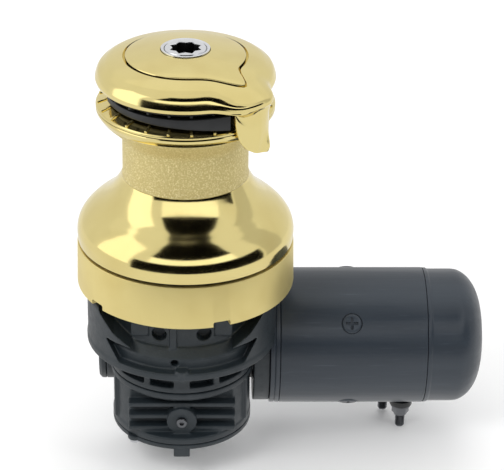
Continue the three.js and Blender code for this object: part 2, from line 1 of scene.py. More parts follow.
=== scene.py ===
"""Electric self-tailing winch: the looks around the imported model. Lengths are in millimetres
until they reach a mesh; MM turns them into metres."""
import json
import math

import bmesh
import bpy
from mathutils import Matrix, Vector


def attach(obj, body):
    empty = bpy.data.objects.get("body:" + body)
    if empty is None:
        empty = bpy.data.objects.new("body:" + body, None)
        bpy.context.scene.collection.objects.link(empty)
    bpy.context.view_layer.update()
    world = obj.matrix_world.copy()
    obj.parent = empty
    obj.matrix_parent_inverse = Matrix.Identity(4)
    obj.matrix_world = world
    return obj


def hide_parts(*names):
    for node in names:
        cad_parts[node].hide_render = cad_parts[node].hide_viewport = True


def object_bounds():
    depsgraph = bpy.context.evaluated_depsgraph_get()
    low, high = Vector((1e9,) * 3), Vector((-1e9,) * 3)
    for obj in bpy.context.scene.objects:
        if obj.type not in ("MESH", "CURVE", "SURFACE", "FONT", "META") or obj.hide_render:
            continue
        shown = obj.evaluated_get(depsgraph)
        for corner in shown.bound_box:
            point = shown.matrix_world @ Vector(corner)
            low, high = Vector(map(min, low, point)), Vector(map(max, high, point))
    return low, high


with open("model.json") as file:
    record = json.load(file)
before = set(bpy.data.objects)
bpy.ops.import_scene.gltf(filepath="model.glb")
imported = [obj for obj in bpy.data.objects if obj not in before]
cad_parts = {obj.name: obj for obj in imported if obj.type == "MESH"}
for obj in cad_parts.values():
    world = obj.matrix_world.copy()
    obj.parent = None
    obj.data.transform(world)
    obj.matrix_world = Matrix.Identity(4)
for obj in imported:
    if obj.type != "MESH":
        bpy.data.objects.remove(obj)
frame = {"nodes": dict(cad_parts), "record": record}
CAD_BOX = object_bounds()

MM = 0.001
TAU = 2 * math.pi


# ---- camera -------------------------------------------------------------------------------
CAMERA_ELEVATION = 27.7  # degrees above the deck plane
CAMERA_DISTANCE = 1.72
CAMERA_TARGET = (0, 0, 0.0342)


def make_camera():
    data = bpy.data.cameras.new("camera")
    data.sensor_width = 36.0
    data.lens = 153.6
    data.shift_x = 0.132
    data.shift_y = 0.006
    data.clip_end = 20.0
    camera = bpy.data.objects.new("camera", data)
    bpy.context.scene.collection.objects.link(camera)
    bpy.context.scene.camera = camera
    elevation = math.radians(CAMERA_ELEVATION)
    target = Vector(CAMERA_TARGET)
    back = Vector((0, -math.cos(elevation), math.sin(elevation)))
    camera.location = target + CAMERA_DISTANCE * back
    camera.rotation_euler = back.to_track_quat("Z", "Y").to_euler()


make_camera()


# ---- mesh tools ---------------------------------------------------------------------------
def make_object(name, vertices, faces, crease=35.0):
    """A closed mesh from millimetre vertices, smooth apart from edges sharper than crease."""
    mesh = bpy.data.meshes.new(name)
    mesh.from_pydata([Vector(v) * MM for v in vertices], [], faces)
    obj = bpy.data.objects.new(name, mesh)
    bpy.context.scene.collection.objects.link(obj)
    clean(obj, crease)
    return obj


def clean(obj, crease=35.0):
    form = bmesh.new()
    form.from_mesh(obj.data)
    bmesh.ops.remove_doubles(form, verts=form.verts, dist=1e-7)
    bmesh.ops.recalc_face_normals(form, faces=form.faces)
    form.to_mesh(obj.data)
    form.free()
    obj.data.shade_smooth()
    obj.data.set_sharp_from_angle(angle=math.radians(crease))


def bake_modifiers(obj, crease=35.0):
    graph = bpy.context.evaluated_depsgraph_get()
    mesh = bpy.data.meshes.new_from_object(obj.evaluated_get(graph))
    obj.modifiers.clear()
    obj.data = mesh
    obj.data.shade_smooth()
    obj.data.set_sharp_from_angle(angle=math.radians(crease))
    return obj


def combine(target, others, operation="UNION", crease=35.0):
    """Adds solids to target, or cuts them away with operation DIFFERENCE."""
    for other in others:
        modifier = target.modifiers.new("combine", "BOOLEAN")
        modifier.operation = operation
        modifier.solver = "MANIFOLD"
        modifier.object = other
    bake_modifiers(target, crease)
    for other in others:
        bpy.data.objects.remove(other)
    return target


def cut(target, others, crease=35.0):
    return combine(target, others, "DIFFERENCE", crease)


def as_casting(obj, voxel=0.8, rounds=4):
    """Softens every edge of a solid as sand casting does."""
    remesh = obj.modifiers.new("remesh", "REMESH")
    remesh.mode = "VOXEL"
    remesh.voxel_size = voxel * MM
    smooth = obj.modifiers.new("smooth", "SMOOTH")
    smooth.factor = 0.5
    smooth.iterations = rounds
    return bake_modifiers(obj, 60.0)


def rounded(points, radius=0.6, steps=3):
    """A closed outline with each corner turned into a small arc."""
    result = []
    count = len(points)
    for i, here in enumerate(points):
        here = Vector(here)
        before = Vector(points[i - 1]) - here
        after = Vector(points[(i + 1) % count]) - here
        turn = math.pi - before.angle(after)
        if turn < 0.2:
            result.append(tuple(here))
            continue
        reach = min(radius * math.tan(turn / 2), 0.45 * before.length, 0.45 * after.length)
        start = here + before.normalized() * reach
        end = here + after.normalized() * reach
        for step in range(steps + 1):
            t = step / steps
            result.append(tuple(start * (1 - t) ** 2 + here * 2 * t * (1 - t) + end * t * t))
    return result


def spline(points, per=5):
    """A smooth line through the points."""
    ends = [points[0], *points, points[-1]]
    result = []
    for i in range(1, len(ends) - 2):
        p0, p1, p2, p3 = (Vector(p) for p in ends[i - 1:i + 3])
        for step in range(per):
            t = step / per
            result.append(tuple(0.5 * (2 * p1 + (p2 - p0) * t + (2 * p0 - 5 * p1 + 4 * p2 - p3) * t * t
                                       + (3 * p1 - p0 - 3 * p2 + p3) * t ** 3)))
    result.append(tuple(points[-1]))
    return result


def grid(name, rows, crease=35.0, loop=True):
    """A closed surface through rings of points; without loop the end rings get flat caps."""
    across = len(rows[0])
    vertices = [point for row in rows for point in row]
    faces = []
    for i in range(len(rows) if loop else len(rows) - 1):
        for j in range(across):
            here, there = i * across, ((i + 1) % len(rows)) * across
            after = (j + 1) % across
            faces.append((here + j, here + after, there + after, there + j))
    if not loop:
        faces.append(tuple(range(across)))
        faces.append(tuple((len(rows) - 1) * across + j for j in range(across)))
    return make_object(name, vertices, faces, crease)


def lathe(name, profile, segments=192, crease=35.0):
    """A solid of revolution about Z. A profile that starts and ends on the axis is a plug."""
    rows = []
    for i in range(segments):
        angle = TAU * i / segments
        rows.append([(r * math.cos(angle), r * math.sin(angle), z) for r, z in profile])
    obj = grid(name, rows, crease)
    if any(r < 1e-6 for r, z in profile):
        form = bmesh.new()
        form.from_mesh(obj.data)
        bmesh.ops.dissolve_degenerate(form, edges=form.edges, dist=1e-7)
        form.to_mesh(obj.data)
        form.free()
        clean(obj, crease)
    return obj


def prism(name, outline, low, high, crease=35.0):
    rows = [[(x, y, z) for x, y in outline] for z in (low, high)]
    return grid(name, rows, crease, loop=False)


def slab(name, x, y, z, radius=0.6):
    """A block between (low, high) pairs with rounded edges."""
    corners = [(a, b, c) for a in x for b in y for c in z]
    faces = [(0, 1, 3, 2), (4, 6, 7, 5), (0, 4, 5, 1), (2, 3, 7, 6), (0, 2, 6, 4), (1, 5, 7, 3)]
    obj = make_object(name, corners, faces)
    if radius:
        bevel = obj.modifiers.new("bevel", "BEVEL")
        bevel.width = radius * MM
        bevel.segments = 3
        bake_modifiers(obj)
    return obj


def put(obj, turn=(0, 0, 0), move=(0, 0, 0)):
    """Turns about X, Y and Z in degrees, then moves by millimetres."""
    matrix = Matrix.Identity(4)
    for degrees, axis in zip(turn, "XYZ"):
        matrix = Matrix.Rotation(math.radians(degrees), 4, axis) @ matrix
    obj.data.transform(Matrix.Translation(Vector(move) * MM) @ matrix)
    return obj


def piece(obj, body, slot, material, *nodes):
    """Gives a finished object its material, parents it to its body's empty and hides the CAD nodes it
    stands in for.
    """
    obj.data.materials.clear()
    obj.data.materials.append(material)
    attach(obj, body)
    if nodes:
        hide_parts(*nodes)
    return obj


# ---- materials ----------------------------------------------------------------------------
class Shader:
    """A Principled material with a few noise layers, all in the piece's own coordinates."""

    def __init__(self, name, color, metallic, roughness):
        self.material = bpy.data.materials.new(name)
        self.material.use_nodes = True
        self.tree = self.material.node_tree
        self.main = self.tree.nodes["Principled BSDF"]
        self.main.inputs["Metallic"].default_value = metallic
        self.color = self.value((*color, 1.0), "ShaderNodeRGB")
        self.rough = self.value(roughness, "ShaderNodeValue")
        self.height = None
        self.place = self.tree.nodes.new("ShaderNodeTexCoord").outputs["Object"]

    def value(self, amount, kind):
        node = self.tree.nodes.new(kind)
        node.outputs[0].default_value = amount
        return node.outputs[0]

    def link(self, source, target):
        self.tree.links.new(source, target)

    def math(self, operation, a, b):
        node = self.tree.nodes.new("ShaderNodeMath")
        node.operation = operation
        for socket, given in zip(node.inputs, (a, b)):
            if isinstance(given, (int, float)):
                socket.default_value = given
            else:
                self.link(given, socket)
        return node.outputs[0]

    def noise(self, size, detail=3.0, stretch=(1, 1, 1)):
        """Noise with features about size millimetres across."""
        scale = self.tree.nodes.new("ShaderNodeMapping")
        scale.inputs["Scale"].default_value = stretch
        node = self.tree.nodes.new("ShaderNodeTexNoise")
        node.inputs["Scale"].default_value = 1000.0 / size
        node.inputs["Detail"].default_value = detail
        self.link(self.place, scale.inputs["Vector"])
        self.link(scale.outputs["Vector"], node.inputs["Vector"])
        return node.outputs["Fac"]

    def between(self, source, low, high, to_low=0.0, to_high=1.0):
        node = self.tree.nodes.new("ShaderNodeMapRange")
        self.link(source, node.inputs["Value"])
        amounts = {"From Min": low, "From Max": high, "To Min": to_low, "To Max": to_high}
        for key, amount in amounts.items():
            node.inputs[key].default_value = amount
        return node.outputs["Result"]

    def tint(self, factor, color):
        """Mixes towards a colour by a 0 to 1 factor."""
        node = self.tree.nodes.new("ShaderNodeMix")
        node.data_type = "RGBA"
        self.link(factor, node.inputs["Factor"])
        self.link(self.color, node.inputs[6])
        node.inputs[7].default_value = (*color, 1.0)
        self.color = node.outputs[2]

    def rougher(self, factor, by):
        self.rough = self.math("ADD", self.rough, self.math("MULTIPLY", factor, by))

    def bump(self, factor, depth):
        """Raises the surface by depth millimetres where the factor is 1."""
        raised = self.math("MULTIPLY", factor, depth * MM)
        self.height = raised if self.height is None else self.math("ADD", self.height, raised)

    def done(self):
        self.link(self.color, self.main.inputs["Base Color"])
        self.link(self.rough, self.main.inputs["Roughness"])
        if self.height is not None:
            node = self.tree.nodes.new("ShaderNodeBump")
            node.inputs["Distance"].default_value = 1.0
            self.link(self.height, node.inputs["Height"])
            self.link(node.outputs["Normal"], self.main.inputs["Normal"])
        return self.material


GOLD = (0.83, 0.70, 0.305)
DEEP_GOLD = (0.68, 0.53, 0.19)


def polished_gold(name, barrel=None, roughness=0.11, metallic=1.0):
    """Polished and lacquered bronze. barrel is the (low, high) height of a grit-blasted band."""
    shader = Shader(name, GOLD, metallic, roughness)
    shader.tint(shader.between(shader.noise(38, 2), 0.45, 0.75, 0.0, 0.35), DEEP_GOLD)
    shader.rougher(shader.between(shader.noise(14, 5), 0.4, 0.8), 0.05)
    shader.bump(shader.noise(20, 1), 0.03)
    if barrel:
        split = shader.tree.nodes.new("ShaderNodeSeparateXYZ")
        shader.link(shader.place, split.inputs["Vector"])
        height = split.outputs["Z"]
        low, high = (level * MM for level in barrel)
        above = shader.between(height, low, low + 0.4 * MM)
        below = shader.between(height, high, high + 0.4 * MM, 1.0, 0.0)
        band = shader.math("MULTIPLY", above, below)
        grit = shader.noise(0.9, 4)
        shader.rougher(band, 0.34)
        dulled = shader.math("MULTIPLY", band, 0.35)
        shader.link(shader.math("SUBTRACT", 1.0, dulled), shader.main.inputs["Metallic"])
        shader.bump(shader.math("MULTIPLY", band, grit), 0.8)
        specks = shader.math("MULTIPLY", band, shader.between(shader.noise(1.1, 3), 0.5, 0.64))
        shader.tint(shader.math("MULTIPLY", band, 0.85), (0.62, 0.51, 0.215))
        shader.tint(shader.math("MULTIPLY", specks, 0.7), (0.98, 0.88, 0.50))
    return shader.done()


def bare_metal(name, color, roughness, mark=0.25, brushed=(1, 1, 1)):
    shader = Shader(name, color, 1.0, roughness)
    shader.tint(shader.between(shader.noise(9, 4), 0.45, 0.8, 0.0, mark), tuple(0.55 * c for c in color))
    shader.rougher(shader.between(shader.noise(1.2, 3, brushed), 0.35, 0.7), 0.12)
    shader.bump(shader.noise(0.6, 2, brushed), 0.02)
    return shader.done()


def socket_chrome(name, floor):
    """Chrome with painted shade: it turns near black below the floor height, standing in for the shadow
    down inside the handle socket.
    """
    shader = Shader(name, (0.80, 0.81, 0.83), 1.0, 0.16)
    split = shader.tree.nodes.new("ShaderNodeSeparateXYZ")
    shader.link(shader.place, split.inputs["Vector"])
    # painted shade: below the floor height the chrome is tinted near black and made rougher, for the
    # shadow inside the socket
    painted_shade = shader.between(split.outputs["Z"], (floor - 0.3) * MM, floor * MM, 1.0, 0.0)
    shader.tint(painted_shade, (0.015, 0.015, 0.016))
    shader.rougher(painted_shade, 0.35)
    shader.bump(shader.noise(0.6, 2), 0.02)
    return shader.done()


def paint(name, color, roughness, grain, depth, lighter, stretch=(1, 1, 1)):
    """Satin paint: grain is the texture's size, and lighter the colour it wears to in patches.
    A stretch below 1 draws the texture out along that axis."""
    shader = Shader(name, color, 0.0, roughness)
    shader.tint(shader.between(shader.noise(22, 4, stretch), 0.42, 0.75, 0.0, 0.5), lighter)
    dust = shader.between(shader.noise(2.2, 5, stretch), 0.62, 0.8, 0.0, 0.4)
    shader.tint(dust, tuple(1.5 * c for c in lighter))
    shader.rougher(shader.between(shader.noise(6, 4, stretch), 0.35, 0.75), 0.12)
    shader.bump(shader.noise(grain, 5, stretch), depth)
    shader.bump(shader.noise(grain * 9, 2), depth)
    return shader.done()


POLISHED = polished_gold("polished_gold")
SATIN = polished_gold("satin_gold", roughness=0.46, metallic=0.94)
DRUM_GOLD = polished_gold("drum_gold", (93.5, 145.0))
CHROME = bare_metal("socket_chrome", (0.80, 0.81, 0.83), 0.16, 0.15)
STEEL = bare_metal("machined_steel", (0.50, 0.51, 0.53), 0.28)
DARK_STEEL = bare_metal("dark_steel", (0.15, 0.155, 0.165), 0.3)
BRONZE = bare_metal("gear_bronze", (0.52, 0.33, 0.13), 0.3)
COPPER = bare_metal("copper", (0.55, 0.26, 0.12), 0.35)
CASTING = paint("casting_paint", (0.014, 0.021, 0.026), 0.42, 1.4, 0.16, (0.029, 0.037, 0.044))
MOTOR = paint("motor_paint", (0.021, 0.029, 0.040), 0.3, 1.8, 0.07, (0.046, 0.058, 0.072), (0.06, 1, 1))
BLACK = paint("black_plastic", (0.012, 0.013, 0.014), 0.38, 0.8, 0.03, (0.022, 0.023, 0.025))
MAGNET = paint("magnet", (0.05, 0.05, 0.053), 0.6, 1.0, 0.1, (0.08, 0.08, 0.085))
CARBON = paint("carbon", (0.03, 0.03, 0.032), 0.7, 0.6, 0.06, (0.05, 0.05, 0.05))

# the socket's chrome carries painted shade: dark below 198.3 mm, for the shadow inside the star hole
SHADED_SOCKET_CHROME = socket_chrome("shaded_socket_head", 198.3)

SLOT_MATERIALS = {
    "polished_bronze": POLISHED, "grit_bronze": DRUM_GOLD, "black_plastic": BLACK, "chrome": CHROME,
    "steel": STEEL, "cast_paint": CASTING, "motor_paint": MOTOR, "gear_bronze": BRONZE,
    "copper": COPPER, "magnet": MAGNET, "carbon": CARBON,
}


def finish_cad_nodes():
    """Every CAD node gets the material of its slot."""
    for entry in frame["record"]["subparts"]:
        node = frame["nodes"][entry["node"]]
        material = SLOT_MATERIALS[entry["material_slot"]]
        if not node.material_slots:
            node.data.materials.append(material)
        for holder in node.material_slots:
            holder.material = material


finish_cad_nodes()


# ---- deck base ----------------------------------------------------------------------------
def base_ring():
    profile = [(18.8, 1.4), (78, 1.4), (78, 0), (87, 0), (86.3, 36), (81.2, 36), (81, 8), (18.8, 8)]
    ring = lathe("base_ring", rounded(profile, 0.9), 256)
    tools = []
    for i in range(5):
        notch = slab("notch", (72, 92), (-7, 7), (-6, 4.6), 1.6)
        tools.append(put(notch, (0, 0, -71 + 72 * i)))
        bolt = lathe("bolt", [(0, -2), (4.3, -2), (4.3, 10), (0, 10)], 32)
        tools.append(put(bolt, move=(68, 0, 0)))
        put(bolt, (0, 0, -35 + 72 * i))
    return cut(ring, tools, 30)


piece(base_ring(), "frame", "polished_bronze", SATIN, "base_housing")


# ---- drum and jaws ------------------------------------------------------------------------
def drum_shell():
    skirt = spline([(86.0, 40), (86.2, 44.5), (85.9, 48.6), (84.2, 54.0), (80.6, 59.4), (75.4, 64.6),
                    (69.4, 69.4), (64.0, 73.8), (59.2, 78.8), (55.4, 84), (52.4, 89), (50.4, 93),
                    (49.5, 97)], 7)
    flare = spline([(49.5, 122), (49.8, 125.6), (51.6, 129.6), (56, 134.6), (61.5, 139.8), (66.4, 144.8),
                    (69.4, 149.6)], 6)
    outer = [(83.4, 38.4), (85.0, 38.4), (85.8, 38.8), *skirt, *flare, (69.6, 151.4), (69.1, 152)]
    inner = [(44, 152), (44, 178), (36, 178), (36, 160), (31.2, 158), (31.2, 144), (40, 138), (40, 84),
             (31.2, 80), (31.2, 66.5), (45, 66.5), (45, 55.8), (54, 55.8), (54, 70.5), (66, 69), (81, 56)]
    return lathe("drum_shell", outer + inner, 256, 40)


def jaw_ring(name, back, face, rim_face, outer, up, ribs, segments=256):
    """One rope jaw: a flat, then a cone with rounded radial ribs."""
    inner, flat = 44.5, 54
    sign = 1 if up else -1
    profile = [(inner, back), (outer - 0.4, back), (outer, back + 0.5 * sign),
               (outer, rim_face - 0.9 * sign), (outer - 0.9, rim_face), (flat, face), (inner, face)]
    ring = lathe(name, rounded(profile, 0.5), segments)
    lean = math.degrees(math.atan2(face - rim_face, outer - flat))
    tools = []
    for i in range(ribs):
        rib = slab("rib", (0.6, outer - flat - 0.5), (-1.1, 1.1), (-2, 1.15) if up else (-1.15, 2), 0.6)
        put(rib, (0, lean, 0), (flat, 0, face))
        tools.append(put(rib, (0, 0, 4 + 360 * i / ribs)))
    return combine(ring, tools)


piece(drum_shell(), "drum", "grit_bronze", DRUM_GOLD, "drum")
lower_ring = jaw_ring("lower_jaw_ring", 152.4, 160, 155, 69.6, True, 24)
piece(lower_ring, "drum", "polished_bronze", POLISHED, "lower_jaw")
upper_ring = jaw_ring("upper_jaw_ring", 172, 165, 170.5, 66, False, 24)
piece(upper_ring, "upper_jaw", "black_plastic", BLACK, "upper_jaw")


# ---- self-tailing arm ---------------------------------------------------------------------
ARM_ANGLE = -48.5
ARM_REACH = 14  # how far the arm stands out past the cap
ARM_SCREWS = 20.6  # from the drum axis
CAP_TOP = 197.5
DOME = 220.0
RIM_LOW = 174.0
HOOK_EDGE = [(-11.6, 174), (-10.6, 162), (-9.2, 153), (-6.8, 145.6), (-3.4, 140), (0.4, 137), (4, 135.8),
             (8, 135.4), (11, 136), (12.8, 138.4), (13.6, 144), (13.9, 152), (14.4, 163), (15, 174)]


def from_arm(degrees):
    return (degrees - ARM_ANGLE + 540) % 360 - 180


def dome(radius, top=CAP_TOP):
    return top - radius * radius / (2 * DOME)


def ramp(table, x):
    if x <= table[0][0] or x >= table[-1][0]:
        return table[0][1]
    for (x0, y0), (x1, y1) in zip(table, table[1:]):
        if x <= x1:
            t = (x - x0) / (x1 - x0)
            return y0 + (y1 - y0) * t
    return table[-1][1]


def cap_section(turn):
    """One radial slice of the cap and arm, turn degrees round from the arm."""
    edge = ramp(HOOK_EDGE, turn)
    reach = ARM_REACH * math.exp(-((turn / 19) ** 4))
    drop = RIM_LOW - edge
    shoulder = 70 + reach
    inner = 67 + reach * 0.36
    hang = min(1, drop / 22)
    crown = min(1, max(0, (turn + 12) / 14)) - 0.35 * max(0, (turn - 2) / 13)
    beak = math.exp(-(((turn - 9.5) / 3.5) ** 2))
    leg = inner + 1.4 + (shoulder - inner - 3.2) * crown
    lip = leg - 2.2 * hang * (1 - beak) + 2.4 * beak * hang
    top = spline([(20, dome(20)), (44, dome(44)), (58, dome(58)), (63.6 + 0.3 * reach, 186.8),
                  (67.0 + 0.6 * reach, 184.0), (shoulder - 1.2, 180.4), (shoulder - 0.2, 176.6),
                  (shoulder - 0.4, 175.2)], 6)
    step_in = shoulder - 0.9 - 1.2 * hang
    side = spline([(shoulder - 0.4, 175.2), (step_in, 173.5 - 0.9 * hang),
                   (max(leg, inner + 2), edge + 0.78 * drop - 0.1 * hang),
                   (leg, edge + 0.45 * drop), (lip, edge + 0.12 * drop + 0.7), (lip - 1.1, edge)], 5)[1:]
    under = spline([(inner + 0.8, edge), (inner, edge + drop * 0.15 + 0.8), (inner, edge + drop * 0.5 + 2),
                    (66.8, 178), (63, 182.5)], 5)
    hub = [(24, 182.5), (24, 171.4), (16.8, 171.4), (16.8, 188), (19.4, 188)]
    return top + side + under + hub


def teardrop(grow, count=240):
    points = []
    for i in range(count):
        degrees = 360 * i / count
        turn = from_arm(degrees) - 1.5
        width = 16.0 if turn < 0 else 8.0
        radius = 46.5 + 18.5 * math.exp(-((abs(turn) / width) ** 1.7)) + grow
        angle = math.radians(degrees)
        points.append((radius * math.cos(angle), radius * math.sin(angle)))
    return points


def arm_cap():
    turns = []
    turn = -180.0
    while turn < 180:
        turns.append(turn)
        turn += 0.5 if -20 <= turn < 20 else 2.0
    rows = []
    for turn in turns:
        angle = math.radians(ARM_ANGLE + turn)
        rows.append([(r * math.cos(angle), r * math.sin(angle), z) for r, z in cap_section(turn)])
    cap = grid("arm_cap", rows, 50)
    tools = [prism("pocket", teardrop(1.9), 186.3, 215)]
    for side in (-1, 1):
        hole = lathe("hole", [(0, 165), (2.3, 165), (2.3, 190), (0, 190)], 24)
        tools.append(put(hole, move=(0, side * ARM_SCREWS, 0)))
    return cut(cap, tools, 50)


def cover():
    """The raised teardrop plate: nested outlines give it a crowned top and a rolled edge."""
    rows = []
    for grow, lower in ((-0.2, None), (0, 0.9), (-0.15, 0.35), (-0.6, 0.05), (-1.2, 0.0)):
        outline = teardrop(grow)
        level = [186.9] * len(outline) if lower is None else [
            dome(math.hypot(x, y), CAP_TOP + 0.9) - lower for x, y in outline]
        rows.append([(x, y, z) for (x, y), z in zip(outline, level)])
    for share in (0.9, 0.8, 0.7, 0.6, 0.5):
        outline = [(x * share, y * share) for x, y in teardrop(-1.2)]
        rows.append([(x, y, dome(math.hypot(x, y), CAP_TOP + 0.9)) for x, y in outline])
    count = len(rows[0])
    for radius, low in ((19.4, None), (19.4, 186.9)):
        ring = []
        for i in range(count):
            angle = TAU * i / count
            z = dome(radius, CAP_TOP + 0.9) if low is None else low
            ring.append((radius * math.cos(angle), radius * math.sin(angle), z))
        rows.append(ring)
    return grid("teardrop_cover", rows, 40)


def stripper():
    """The black rope guide between the jaws, rising to the arm."""
    edge = rounded([(46.5, 161.4), (56, 161.4), (56, 163.8), (46.5, 163.8)], 0.4)
    flat = lathe("rope_stripper", edge, 192)
    rows = []
    turn = -118.0
    while turn <= -13:
        share = (turn + 118) / 105
        outer = 61.5 + 9 * share ** 3
        low = 161.8 - 0.32 * (outer - 55)
        high = 163.3 + 0.4 * (outer - 56)
        corners = [(54, 161.6), (outer - 1, low), (outer, low + 1), (outer, high), (outer - 2, high),
                   (54, 163.6)]
        section = rounded(corners, 0.5)
        angle = math.radians(ARM_ANGLE + turn)
        rows.append([(r * math.cos(angle), r * math.sin(angle), z) for r, z in section])
        turn += 1.5
    return combine(flat, [grid("ramp", rows, 35, loop=False)])


piece(arm_cap(), "frame", "polished_bronze", POLISHED, "top_cap")
piece(cover(), "frame", "polished_bronze", POLISHED, "cover_plate")
piece(stripper(), "frame", "black_plastic", BLACK, "stripper_ring")


# ---- handle socket ------------------------------------------------------------------------
SOCKET_ACROSS = 17.5  # across the flats of the handle socket


def star(across, grow):
    half = across / 2 + grow
    points = []
    for i in range(16):
        radius = half * math.sqrt(2) if i % 2 else half / math.cos(math.radians(22.5))
        points.append((radius * math.cos(TAU * i / 16), radius * math.sin(TAU * i / 16)))
    return points


def spindle():
    profile = [(0, 8.5), (13.4, 8.5), (13.4, -12.5), (16.2, -12.5), (17.2, -11.5), (17.2, 12), (9, 13),
               (9, 57), (10.2, 57), (10.2, 166), (16.2, 169), (16.2, 198.2), (15.6, 198.9), (0, 198.9)]
    body = lathe("spindle_head", profile, 128)
    rows = []
    for z, grow in ((172, 0.3), (198.2, 0.3), (199.6, 1.0)):
        rows.append([(x, y, z) for x, y in star(SOCKET_ACROSS, grow)])
    return cut(body, [grid("socket", rows, 30, loop=False)], 30)


def collar():
    profile = [(16.6, 188.4), (18.4, 188.4), (18.4, 191), (19, 191), (19, 198.6), (18.3, 199),
               (17.4, 198.9), (16.6, 198.2)]
    return lathe("socket_ring", profile, 160)


piece(spindle(), "spindle", "chrome", SHADED_SOCKET_CHROME, "main_spindle")
piece(collar(), "frame", "chrome", CHROME, "socket_collar")


# ---- motor --------------------------------------------------------------------------------
AXIS_Y, AXIS_Z = 38.0, -77.0
POLE_ANGLES = (231, 321, 51, 141)
POLE_MIDDLE = 135.6  # along the motor, as are the terminals below
TERMINALS = ((182.6, -9), (170, 17))
CAN_RADIUS = 56.5


def on_motor(obj, along=0.0):
    """Lays a piece built about Z along the motor's axis."""
    return put(obj, (0, 90, 0), (along, AXIS_Y, AXIS_Z))


def motor_pieces():
    flange = [(13.6, 69.7), (56.5, 69.7), (56.5, 73), (55.6, 73.6), (56.3, 74.2), (56.5, 77.4),
              (50.4, 77.4), (50.4, 82.8), (46, 82.8), (46, 77.4), (13.6, 77.4)]
    yield on_motor(lathe("motor_front_ring", rounded(flange, 0.35), 192)), "motor_flange"
    wall = rounded([(51.3, 77.8), (CAN_RADIUS, 77.8), (CAN_RADIUS, 197.6), (51.3, 197.6)], 0.8)
    can = lathe("motor_body", wall, 256)
    tools = []
    for angle in POLE_ANGLES:
        hole = lathe("hole", [(0, 40), (3.4, 40), (3.4, 54.5), (8.6, 54.5), (8.6, 70), (0, 70)], 48)
        put(hole, (0, 90, 0), (0, 0, POLE_MIDDLE))
        tools.append(put(hole, (0, 0, angle)))
    for along, y in TERMINALS:
        hole = lathe("hole", [(0, 30), (7.6, 30), (7.6, 70), (0, 70)], 32)
        tools.append(put(hole, (0, 90, 0), (0, y, along)))
    yield on_motor(cut(can, tools)), "motor_can"
    skin = 55.3
    shoulder = spline([(skin, 222), (skin - 0.9, 227), (skin - 4, 232.6), (skin - 9, 237.6),
                       (skin - 17, 242.2), (skin - 28, 245.3), (skin - 42, 246.5)], 6)
    cap = [(50.3, 198), (56.3, 198), (56.3, 200.4), (55.9, 201.1), (skin + 0.2, 201.6), (skin, 202.4),
           *shoulder,
           (0, 246.6), (0, 242.1), (21.3, 241.5), (42.3, 232), (50.3, 221)]
    yield on_motor(lathe("motor_rear_cap", cap, 256)), "motor_end_cap"


for obj, node in motor_pieces():
    piece(obj, "frame", "motor_paint", MOTOR, node)


def pole_screws():
    for i, angle in enumerate(POLE_ANGLES):
        crown = spline([(8, 55.9), (7.4, 56.7), (5.6, 57.3), (3, 57.5)], 4)
        head = lathe("screw", [(0, 46), (2.9, 46), (2.9, 54.9), (8, 54.9), *crown, (0, 57.5)], 64)
        cross = [slab("slot", (-5, 5), (-1.05, 1.05), (55.6, 60), 0.3),
                 slab("slot", (-1.05, 1.05), (-5, 5), (55.6, 60), 0.3)]
        head = cut(head, cross, 30)
        head.name = f"pole_screw_head_{i + 1}"
        put(head, (0, 90, 0), (0, 0, POLE_MIDDLE))
        put(head, (0, 0, angle))
        piece(on_motor(head), "frame", "motor_paint", MOTOR, f"pole_screw_{i + 1}")


def washer_ring(name, outer, low, high, segments):
    corners = [(3.5, low), (outer, low), (outer, high), (3.5, high)]
    return lathe(name, rounded(corners, 0.3), segments)


def terminal_bolt(name, surface):
    """A threaded stud with its washer and nut, standing on the can's surface."""
    thread = []
    for turn in range(9):
        z = surface + 15.4 + turn * 1.25
        thread += [(4, z), (3.4, z + 0.62)]
    profile = [(0, 40), (4, 40), (4, surface + 15.2), *thread, (3.4, surface + 26.6),
               (2.8, surface + 27), (0, surface + 27)]
    stud = lathe("stud", profile, 48)
    washer = washer_ring("washer", 8.4, surface + 5.6, surface + 7.2, 64)
    hexagon = [(7.4 * math.cos(TAU * k / 6), 7.4 * math.sin(TAU * k / 6)) for k in range(6)]
    nut = prism("nut", hexagon, surface + 7, surface + 13.4)
    bevel = nut.modifiers.new("bevel", "BEVEL")
    bevel.width = 0.5 * MM
    bevel.segments = 3
    bake_modifiers(nut)
    nut_cap = washer_ring("nut_cap", 5.6, surface + 13, surface + 15, 48)
    stud = combine(stud, [washer, nut, nut_cap])
    stud.name = name
    return stud


def terminal_sleeve(name, surface):
    corners = [(4.3, 48), (7.2, 48), (7.2, surface), (9.4, surface), (9.4, surface + 5.2),
               (4.3, surface + 5.2)]
    return lathe(name, rounded(corners, 0.5), 64)


def terminals():
    for i, (along, y) in enumerate(TERMINALS):
        surface = 0.3 + math.sqrt(CAN_RADIUS ** 2 - (abs(y) - 9.4) ** 2)
        bolt = terminal_bolt(f"terminal_bolt_{i + 1}", surface)
        sleeve = terminal_sleeve(f"terminal_sleeve_{i + 1}", surface)
        for obj in (bolt, sleeve):
            on_motor(put(obj, (0, 90, 0), (0, y, along)))
        piece(bolt, "frame", "steel", DARK_STEEL, f"terminal_stud_{i + 1}")
        piece(sleeve, "frame", "black_plastic", BLACK, f"terminal_insulator_{i + 1}")


pole_screws()
terminals()


# ---- gearbox ------------------------------------------------------------------------------
BOX_X = -3.0
COVER_SCREWS = (30, 150, 225)


def plug(name, radius, low, high, segments=64):
    return lathe(name, [(0, low), (radius, low), (radius, high), (0, high)], segments)


def along_worm(name, radius, left, right, segments=128):
    return on_motor(plug(name, radius, left, right, segments))


def front_prism(name, outline, near=-100, far=-20):
    """A solid with its outline in the X, Z plane."""
    rows = [[(x + BOX_X, y, z) for x, z in outline] for y in (near, far)]
    return grid(name, rows, 30, loop=False)


